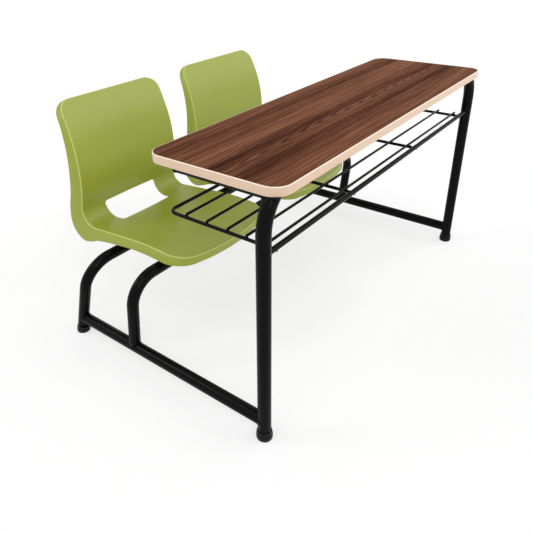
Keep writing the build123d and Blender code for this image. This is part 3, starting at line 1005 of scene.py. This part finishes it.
@dataclass
class RackRods:
    """Long rods of the rack with rounded tips, and the spot welds that hold them."""

    steps: int = 24
    tip: float = 0.003
    tip_steps: int = 4
    spot: float = 0.0028
    spot_stretch: Triple = (1.5, 1.0, 0.8)
    spot_side_share: float = 0.7
    spot_segments: int = 10
    spot_rings: int = 6
    weld_smooth_angle: float = 180.0
    cross_shares: tuple[float, ...] = (0.31, 0.66)
    rows: tuple[float, ...] = (0.082, 0.256, 0.424, 0.618, 0.817)

    def rod(self, centre: Vector, length: float) -> bmesh.types.BMesh:
        """One rod along the desk.

        Args:
            centre: its middle.
            length: its whole length.

        Returns:
            The rod's bmesh.
        """
        mesh = bmesh.new()
        place = Matrix.Translation(centre) @ Matrix.Rotation(math.pi / 2, 4, "Y")
        radius = TUBES.long_rod_radius
        bmesh.ops.create_cone(
            mesh, cap_ends=True, segments=self.steps, radius1=radius, radius2=radius, depth=length,
            matrix=place,
        )
        rims = [e for e in mesh.edges if abs(e.verts[0].co.x - e.verts[1].co.x) < SAME_PLACE]
        bmesh.ops.bevel(
            mesh, geom=rims, offset=self.tip, offset_type="OFFSET", segments=self.tip_steps, profile=0.5,
            affect="EDGES", material=-1,
        )
        return mesh

    def spot_weld(self, place: Vector) -> bmesh.types.BMesh:
        """One spot weld, a drop drawn out along the rod.

        Args:
            place: its middle.

        Returns:
            The weld's bmesh.
        """
        mesh = bmesh.new()
        matrix = Matrix.Translation(place) @ Matrix.Diagonal((*self.spot_stretch, 1))
        bmesh.ops.create_uvsphere(
            mesh, u_segments=self.spot_segments, v_segments=self.spot_rings, radius=self.spot,
            matrix=matrix,
        )
        return mesh

    def build(self, finisher: Finisher) -> None:
        """Build the rods and their spot welds.

        Args:
            finisher: what dresses them.
        """
        low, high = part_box("rack_long_rods")
        frame_low, frame_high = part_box("rack_frame_rod")
        front = middle("rack_front_rail").y
        rear = frame_high.y - TUBES.rack_rod_radius
        left, right = frame_low.x + TUBES.rack_rod_radius, frame_high.x - TUBES.rack_rod_radius
        weld_z = middle("rack_frame_rod").z + TUBES.rack_rod_radius
        crossings = [left, right] + [left + share * (right - left) for share in self.cross_shares]
        rods, spots = [], []
        for share in self.rows:
            y = front + share * (rear - front)
            rods.append(self.rod(Vector(((low.x + high.x) / 2, y, (low.z + high.z) / 2)), high.x - low.x))
            for x in crossings:
                for way in (-1, 1):
                    beside = y + way * TUBES.long_rod_radius * self.spot_side_share
                    spots.append(self.spot_weld(Vector((x, beside, weld_z))))
        settle(finish_mesh("long_rods", join_meshes(rods)), Slot.POWDER, finisher, ["rack_long_rods"])
        welds = finish_mesh("rod_welds", join_meshes(spots), self.weld_smooth_angle)
        settle(welds, Slot.POWDER, finisher)


# Seats


@dataclass
class SeatShell:
    """One moulded seat: a pan and back in one sheet, with a turned edge and a slot at the bend."""

    side: Side

    # Sheet
    half_width: float = 0.230
    wall: float = 0.0045
    smooth_angle: float = 60.0
    rim_bevel: float = 0.0012
    rim_bevel_angle: float = 55.0
    rim_bevel_steps: int = 2

    # Side view of the flat, from the top of the back to the lip
    back_radius: float = 0.430
    top_angle: float = 35.5
    low_angle: float = 16.0
    bend_radius: float = 0.050
    bend_height: float = 0.353
    rise_angle: float = 5.0
    straight: float = 0.190
    pan_radius: float = 0.900
    pan_overrun: float = 0.042
    depth: float = 0.479

    # Outline of the flat
    top_margin: float = 0.0036
    top_narrowing: float = 0.012
    narrowing_run: float = 0.30
    narrowing_power: float = 1.5
    back_corner: float = 0.050
    front_corner: float = 0.066
    bow_radius: float = 0.740
    bow_start: float = 0.08

    # Dish across the seat, fading over a run to a share at the top and at the lip
    dish: float = 0.008
    top_dish_share: float = 0.2
    top_dish_run: float = 0.22
    lip_dish_share: float = 0.15
    lip_dish_run: float = 0.16

    # Turned edge
    edge_radius: float = 0.0045
    edge_tilt: float = 78.0
    edge_steps: int = 7
    least_skirt: float = 0.002
    flare: float = 0.013
    end_flare: float = 0.0004
    flare_power: float = 1.6
    rim_depth: float = 0.077
    rim_places: tuple[float, ...] = (
        0, 0.137, 0.274, 0.385, 0.411, 0.436, 0.448, 0.459, 0.469,
        0.481, 0.494, 0.529, 0.584, 0.64, 0.7, 0.85, 1,
    )
    rim_shares: tuple[float, ...] = (
        0.13, 0.3, 0.5, 0.6, 0.63, 0.82, 0.91, 0.93, 0.91,
        0.78, 0.63, 0.49, 0.42, 0.38, 0.35, 0.35, 0.38,
    )

    # Slot
    slot_from: float = 0.404
    slot_to: float = 0.510
    slot_half_top: float = 0.124
    slot_half_low: float = 0.117
    slot_corner: float = 0.011

    # Grid that the flat is shaped from
    row_step: float = 0.008
    slot_row_step: float = 0.004
    corner_turn: int = 9
    slot_turn: int = 15
    side_columns: int = 13
    slot_columns: int = 26
    middle_reach: float = 0.02
    toward_sitter: Triple = (0, -0.8, 0.6)

    # Bosses under the pan, on the plates
    boss_radius: float = 0.014
    boss_arris: float = 0.001
    boss_steps: int = 32
    boss_smooth_angle: float = 40.0
    boss_sink_share: float = 0.5
    root_height: float = 0.009
    root_rise: float = 0.005
    root_flare: float = 0.004
    root_steps: int = 4
    washer_radius: float = 0.0075
    plate_thickness: float = 0.004
    pan_search_share: float = 0.7
    pan_search_steps: int = 30

    def __post_init__(self) -> None:
        """Work out the side view's centres and lengths from the sizes and the solid's place."""
        low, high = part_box(f"seat_shell_{self.side.word}")
        self.centre_x = (low.x + high.x) / 2
        top = math.radians(self.top_angle)
        down = math.radians(self.low_angle)
        rise = math.radians(self.rise_angle)
        both = self.back_radius + self.bend_radius
        reach = self.rim_depth * self.rim_shares[0] * math.cos(top)
        lumbar = high.y - reach - self.back_radius * (1 - math.cos(top))
        lumbar_z = self.bend_height + self.bend_radius * math.cos(rise) + both * math.sin(down)
        self.back_centre = Vector((lumbar + self.back_radius, lumbar_z))
        self.bend_centre = self.back_centre + Vector((-math.cos(down), -math.sin(down))) * both
        self.bend_end = self.bend_centre + Vector((-math.sin(rise), -math.cos(rise))) * self.bend_radius
        self.pan_start = self.bend_end + Vector((-math.cos(rise), math.sin(rise))) * self.straight
        self.pan_centre = self.pan_start - Vector((math.sin(rise), math.cos(rise))) * self.pan_radius
        self.back_run = self.back_radius * (top + down)
        self.bend_run = self.bend_radius * (math.pi / 2 + down + rise)
        lip = lumbar - self.depth
        upto_pan = self.back_run + self.bend_run + self.straight
        self.run = upto_pan + self.pan_arc(lip)
        self.crease_length = upto_pan + self.pan_arc(lip - self.pan_overrun)

    def pan_arc(self, y: float) -> float:
        """Length of the pan's arc from its start to a place along the desk's depth."""
        flat_end = math.pi / 2 - math.radians(self.rise_angle)
        return self.pan_radius * (math.acos((y - self.pan_centre.x) / self.pan_radius) - flat_end)

    def crease(self, s: float) -> tuple[Vector, Vector]:
        """Side view of the seat's flat.

        Args:
            s: distance along it from the top of the back.

        Returns:
            The point and the direction of travel, both as (y, z).
        """
        rise = math.radians(self.rise_angle)
        if s <= self.back_run:
            a = math.pi - math.radians(self.top_angle) + s / self.back_radius
            out = Vector((math.cos(a), math.sin(a)))
            return self.back_centre + out * self.back_radius, Vector((-out.y, out.x))
        s -= self.back_run
        if s <= self.bend_run:
            a = math.radians(self.low_angle) - s / self.bend_radius
            out = Vector((math.cos(a), math.sin(a)))
            return self.bend_centre + out * self.bend_radius, Vector((out.y, -out.x))
        s -= self.bend_run
        if s <= self.straight:
            way = Vector((-math.cos(rise), math.sin(rise)))
            return self.bend_end + way * s, way
        s -= self.straight
        a = math.pi / 2 - rise + s / self.pan_radius
        out = Vector((math.cos(a), math.sin(a)))
        return self.pan_centre + out * self.pan_radius, Vector((-out.y, out.x))

    def place(
        self, u: float, s: float, out: float = 0.0, deep: float = 0.0, way: tuple[float, float] = (0.0, 0.0)
    ) -> Vector:
        """Point on or near the seat.

        Args:
            u: sideways place.
            s: distance down the side view.
            out: distance outwards in the flat's own plane.
            deep: distance away from the sitter.
            way: sideways and downward parts of the outward direction.

        Returns:
            The point in the desk's frame.
        """
        point, along = self.crease(s)
        share = max(0.0, 1 - (u / self.half_width) ** 2)
        fade = min(1.0, self.top_dish_share + s / self.top_dish_run)
        fade *= min(1.0, self.lip_dish_share + (self.run - s) / self.lip_dish_run)
        normal = Vector((-along.y, along.x))
        flat = point + along * (out * way[1]) + normal * (deep + self.dish * share * fade)
        return Vector((self.centre_x + u + out * way[0], flat.x, flat.y))

    def rows(self) -> list[float]:
        """Work out where the grid's rows lie.

        Returns:
            Distances down the side view, closer together at corners and at the slot.
        """
        top = self.edge_radius + self.top_margin
        lip = self.run - self.edge_radius
        back = [top + d for d in eased(self.back_corner - self.edge_radius, self.corner_turn)]
        front = [lip - d for d in reversed(eased(self.front_corner - self.edge_radius, self.corner_turn))]
        corner = eased(self.slot_corner, self.slot_turn)
        slot_top = [self.slot_from + d for d in corner]
        slot_low = [self.slot_to - d for d in reversed(corner)]
        return [
            *back,
            *between(back[-1], slot_top[0], self.row_step),
            *slot_top,
            *between(slot_top[-1], slot_low[0], self.slot_row_step),
            *slot_low,
            *between(slot_low[-1], front[0], self.row_step),
            *front,
        ]

    def edge_half(self, s: float) -> float:
        """Half width of the grid at a row.

        Args:
            s: the row's distance down.

        Returns:
            The half width, less at the top and at the rounded corners.
        """
        narrowing = self.top_narrowing * max(0.0, 1 - s / self.narrowing_run) ** self.narrowing_power
        half = self.half_width - narrowing - self.edge_radius
        half -= corner_loss(self.back_corner - self.edge_radius, s - self.edge_radius - self.top_margin)
        half -= corner_loss(self.front_corner - self.edge_radius, self.run - self.edge_radius - s)
        return half

    def slot_half(self, s: float) -> float:
        """Half width of the slot at a row, or of the columns that run on past it.

        Args:
            s: the row's distance down.

        Returns:
            The half width, less at the rounded corners.
        """
        share = min(1.0, max(0.0, (s - self.slot_from) / (self.slot_to - self.slot_from)))
        half = self.slot_half_top + (self.slot_half_low - self.slot_half_top) * share
        return half - corner_loss(self.slot_corner, max(0.0, min(s - self.slot_from, self.slot_to - s)))

    def bowed(self, u: float, s: float) -> float:
        """Distance down, pulled back at the sides where the front lip is bowed.

        Args:
            u: sideways place.
            s: distance down before the bow.

        Returns:
            Distance down with the bow.
        """
        bow = self.bow_radius - math.sqrt(self.bow_radius ** 2 - u * u)
        start = self.slot_to + self.bow_start
        share = min(1.0, max(0.0, (s - start) / (self.run - start)))
        return s - bow * share * share * (3 - 2 * share)

    def face_grid(self) -> tuple[bmesh.types.BMesh, Flat]:
        """Shape the seat's face from a grid and open its slot.

        Returns:
            The bmesh, and each vertex's sideways place and distance down.
        """
        rows = self.rows()
        wide, across = self.side_columns, self.slot_columns
        columns = 2 * wide + across + 1
        mesh = bmesh.new()
        # Layer for the painted highlight along the crease of the turned edge
        mesh.verts.layers.float.new("arris")
        bmesh.ops.create_grid(mesh, x_segments=columns - 1, y_segments=len(rows) - 1, size=1.0)
        mesh.verts.ensure_lookup_table()
        flat = {}
        for index, vert in enumerate(mesh.verts):
            row, column = divmod(index, columns)
            s = rows[row]
            edge, inner = self.edge_half(s), self.slot_half(s)
            if column <= wide:
                u = -edge + (edge - inner) * column / wide
            elif column < wide + across:
                u = -inner + 2 * inner * (column - wide) / across
            else:
                u = inner + (edge - inner) * (column - wide - across) / wide
            flat[vert] = (u, self.bowed(u, s))
            vert.co = self.place(*flat[vert])
        gone = []
        for face in mesh.faces:
            row, column = divmod(min(v.index for v in face.verts), columns)
            inside = self.slot_from <= rows[row] < self.slot_to - SAME_PLACE
            if inside and wide <= column < wide + across:
                gone.append(face)
        bmesh.ops.delete(mesh, geom=gone, context="FACES")
        return mesh, flat

    def outline(self, mesh: bmesh.types.BMesh, flat: Flat) -> list[bmesh.types.BMVert]:
        """Outer boundary of the grid as a closed ring.

        Args:
            mesh: the grid with its slot open.
            flat: each vertex's place in the flat.

        Returns:
            The vertices in order round the outline.
        """
        start = max(mesh.verts, key=lambda v: flat[v][1])
        ring, previous, vert = [start], None, start
        while True:
            steps = [e.other_vert(vert) for e in vert.link_edges if e.is_boundary]
            vert, previous = next(v for v in steps if v is not previous), vert
            if vert is start:
                return ring
            ring.append(vert)

    def ways_out(self, ring: Sequence[bmesh.types.BMVert], flat: Flat) -> list[tuple[float, float]]:
        """Outward direction at each vertex of the outline.

        Args:
            ring: the outline in order.
            flat: each vertex's place in the flat.

        Returns:
            Sideways and downward parts of each direction.
        """
        mean = sum(flat[v][1] for v in ring) / len(ring)
        ways = []
        for i, vert in enumerate(ring):
            (u0, s0), (u1, s1) = flat[ring[i - 1]], flat[ring[(i + 1) % len(ring)]]
            way = Vector((s1 - s0, u0 - u1)).normalized()
            if way.dot(Vector((flat[vert][0], flat[vert][1] - mean))) < 0:
                way = -way
            ways.append((way.x, way.y))
        return ways

    def edge_offset(self, s: float, sides: float, level: float) -> tuple[float, float]:
        """How far out and how deep the turned edge lies.

        Args:
            s: distance down the side view.
            sides: one where the outline faces sideways, nothing at the top and the lip.
            level: up to 1 round the edge radius, and from there to 2 down to the rim.

        Returns:
            Distance out and distance deep.
        """
        turn = math.radians(self.edge_tilt) * min(1.0, level)
        out, deep = self.edge_radius * math.sin(turn), self.edge_radius * (1 - math.cos(turn))
        if level > 1:
            rim = self.rim_depth * blend_table(s / self.crease_length, self.rim_places, self.rim_shares)
            widest = self.edge_radius + self.flare * sides + self.end_flare * (1 - sides)
            out += (widest - out) * (1 - (2 - level) ** self.flare_power)
            deep += (max(rim, deep + self.least_skirt) - deep) * (level - 1)
        return out, deep

    def turn_edge(self, mesh: bmesh.types.BMesh, ring: list[bmesh.types.BMVert], flat: Flat) -> None:
        """Extrude the outline round the edge radius and down to the rim, and mark the rounding for a painted
        highlight.

        Args:
            mesh: the grid.
            ring: its outline in order.
            flat: each vertex's place in the flat.
        """
        count = len(ring)
        ways = self.ways_out(ring, flat)
        painted_highlight_mark = mesh.verts.layers.float["arris"]
        current = ring
        for step in range(1, 2 * self.edge_steps + 1):
            level = step / self.edge_steps
            edges = [mesh.edges.get((current[i], current[(i + 1) % count])) for i in range(count)]
            made = bmesh.ops.extrude_edge_only(mesh, edges=edges)["geom"]
            fresh = {v for v in made if isinstance(v, bmesh.types.BMVert)}
            current = [
                next(e.other_vert(vert) for e in vert.link_edges if e.other_vert(vert) in fresh)
                for vert in current
            ]
            for i, vert in enumerate(current):
                u, s = flat[ring[i]]
                out, deep = self.edge_offset(s, ways[i][0] ** 2, level)
                vert.co = self.place(u, s, out, deep, ways[i])
                # Painted highlight: strongest halfway round the edge radius, none down the rim
                vert[painted_highlight_mark] = math.sin(math.pi * level) ** 2 if level < 1 else 0.0

    def shell(self) -> bpy.types.Object:
        """Shape the face, turn its edge, and give it a wall and rounded rims.

        Returns:
            The shell's object.
        """
        mesh, flat = self.face_grid()
        self.turn_edge(mesh, self.outline(mesh, flat), flat)
        bmesh.ops.recalc_face_normals(mesh, faces=mesh.faces)
        off_middle = ((abs(f.calc_center_median().x - self.centre_x), f) for f in mesh.faces)
        facing = next(f for off, f in off_middle if off < self.middle_reach)
        if facing.normal.dot(Vector(self.toward_sitter)) < 0:
            bmesh.ops.reverse_faces(mesh, faces=mesh.faces)
        piece = finish_mesh(f"seat_{self.side.word}", mesh, self.smooth_angle)
        wall = piece.modifiers.new("wall", "SOLIDIFY")
        wall.thickness = self.wall
        wall.offset = -1.0
        wall.use_even_offset = True
        rims = piece.modifiers.new("edges", "BEVEL")
        rims.width = self.rim_bevel
        rims.segments = self.rim_bevel_steps
        rims.limit_method = "ANGLE"
        rims.angle_limit = math.radians(self.rim_bevel_angle)
        rims.harden_normals = False
        return piece

    def height_at(self, u: float, y: float) -> float:
        """Height of the pan's face.

        Args:
            u: sideways place from the seat's middle.
            y: place along the desk's depth.

        Returns:
            Z of the face there.
        """
        low, high = self.back_run + self.bend_run * self.pan_search_share, self.run
        for _ in range(self.pan_search_steps):
            s = (low + high) / 2
            if self.place(u, s).y > y:
                low = s
            else:
                high = s
        return self.place(u, low).z

    def bolt_places(self) -> list[Vector]:
        """Find the top of the plate at each bolt under the seat.

        Returns:
            The places.
        """
        low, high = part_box(f"seat_washers_{self.side.word}")
        plates_low, plates_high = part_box(f"seat_plates_{self.side.word}")
        columns = (low.x + self.washer_radius, high.x - self.washer_radius)
        front = (low.y + self.washer_radius, plates_high.z)
        rear = (high.y - self.washer_radius, plates_low.z + self.plate_thickness)
        return [Vector((x, y, z)) for y, z in (front, rear) for x in columns]

    def boss(self, foot: Vector) -> bmesh.types.BMesh:
        """One boss from its plate up into the pan, with a flared root.

        Args:
            foot: middle of its lower end.

        Returns:
            The boss's bmesh.
        """
        r = self.boss_radius
        pan = self.height_at(foot.x - self.centre_x, foot.y) - self.wall * self.boss_sink_share
        height = pan - foot.z
        root = height - self.root_height
        profile = [(0.0, 0.0), (r - self.boss_arris, 0.0), (r, self.boss_arris), (r, root)]
        for step in range(1, self.root_steps + 1):
            turn = math.pi / 2 * step / self.root_steps
            radius = r + self.root_flare * (1 - math.cos(turn))
            profile.append((radius, root + self.root_rise * math.sin(turn)))
        profile += [(r + self.root_flare, height), (0.0, height)]
        mesh = spun(profile, self.boss_steps)
        bmesh.ops.translate(mesh, vec=foot, verts=mesh.verts)
        return mesh

    def build(self, finisher: Finisher) -> None:
        """Build the shell and its bosses.

        Args:
            finisher: what dresses them.
        """
        word = self.side.word
        settle(self.shell(), Slot.SEAT, finisher, [f"seat_shell_{word}"])
        bosses = join_meshes(self.boss(foot) for foot in self.bolt_places())
        settle(finish_mesh(f"seat_bosses_{word}", bosses, self.boss_smooth_angle), Slot.SEAT, finisher)


# Studio


@dataclass(frozen=True)
class Lamp:
    """Soft, distant lamp: its name, the way that its light travels, its softness and its strength."""

    name: str
    toward: Triple
    spread: float
    power: float

    def hang(self) -> None:
        """Put the lamp in the scene."""
        light = bpy.data.lights.new(self.name, "SUN")
        light.energy = self.power
        light.angle = math.radians(self.spread)
        lamp = bpy.data.objects.new(self.name, light)
        lamp.rotation_mode = "QUATERNION"
        lamp.rotation_quaternion = Vector(self.toward).to_track_quat("-Z", "Y")
        bpy.context.scene.collection.objects.link(lamp)


@dataclass
class Studio:
    """Floor, soft light and the camera at the photograph's angle, placed from the middle of the desktop."""

    place: Triple = (-1.5929, -0.8317, 1.2675)
    yaw: float = -50.24
    pitch: float = 27.49
    roll: float = -2.09
    focus_px: float = 563.3
    middle_px: tuple[float, float] = (230.0, 220.0)
    image_px: float = 533.0
    ambient: float = 0.79
    floor_half: float = 60.0
    lamps: tuple[Lamp, ...] = (
        Lamp("left", (0.5, 0.7, -0.75), 30, 0.62),
        Lamp("right", (-0.6, 0.63, -0.5), 40, 0.62),
        Lamp("back", (0.5, -0.6, -0.7), 16, 0.4),
    )

    def camera(self) -> None:
        """Set the camera."""
        lens = bpy.data.cameras.new("camera")
        camera = bpy.data.objects.new("camera", lens)
        bpy.context.scene.collection.objects.link(camera)
        yaw, pitch, roll = (math.radians(a) for a in (self.yaw, self.pitch, self.roll))
        back = Vector((math.sin(yaw) * math.cos(pitch), -math.cos(yaw) * math.cos(pitch), math.sin(pitch)))
        level = Vector((math.cos(yaw), math.sin(yaw), 0))
        above = back.cross(level)
        right = level * math.cos(roll) + above * math.sin(roll)
        up = above * math.cos(roll) - level * math.sin(roll)
        desk = middle("desktop_edge_band")
        spot = Matrix.Translation(Vector(self.place) + Vector((desk.x, desk.y, 0)))
        camera.matrix_world = spot @ Matrix((right, up, back)).transposed().to_4x4()
        half = self.image_px / 2
        lens.lens = self.focus_px / self.image_px * lens.sensor_width
        lens.shift_x = (half - self.middle_px[0]) / self.image_px
        lens.shift_y = (self.middle_px[1] - half) / self.image_px
        bpy.context.scene.camera = camera

    def floor(self) -> None:
        """Lay the floor."""
        mesh = bmesh.new()
        bmesh.ops.create_grid(mesh, x_segments=1, y_segments=1, size=self.floor_half)
        floor = finish_mesh("floor", mesh)
        floor.data.materials.append(FloorWhite().make())

    def surround(self) -> None:
        """White surround: plain white where it is seen, softer as a light."""
        world = bpy.data.worlds.new("studio")
        world.use_nodes = True
        net = Net(world.node_tree)
        base = world.node_tree.nodes["Background"]
        base.inputs["Color"].default_value = (1, 1, 1, 1)
        net.join(net.span(seen_directly(net), (0.0, 1.0), (self.ambient, 1.0)), base.inputs["Strength"])
        bpy.context.scene.world = world

    def build(self) -> None:
        """Set up all of it."""
        self.camera()
        self.floor()
        self.surround()
        for lamp in self.lamps:
            lamp.hang()
        bpy.context.scene.view_settings.view_transform = "Standard"


def main() -> None:
    """Dress the frame, build the finer pieces and set the studio."""
    logging.basicConfig(level=logging.INFO, format="%(name)s %(message)s")
    finisher = Finisher()
    for part in frame["record"]["subparts"]:
        finisher.dress(frame["nodes"][part["node"]], Slot(part["material_slot"]))
    Desktop().build(finisher)
    for side in Side:
        FootCap().build(f"foot_cap_front_{side.word}", 0, finisher)
        FootCap().build(f"foot_cap_rear_{side.word}", TUBES.rear_lean, finisher)
        SeatShell(side).build(finisher)
    WeldBeads().build(finisher)
    RackRods().build(finisher)
    Studio().build()


if __name__ == "__main__":
    main()
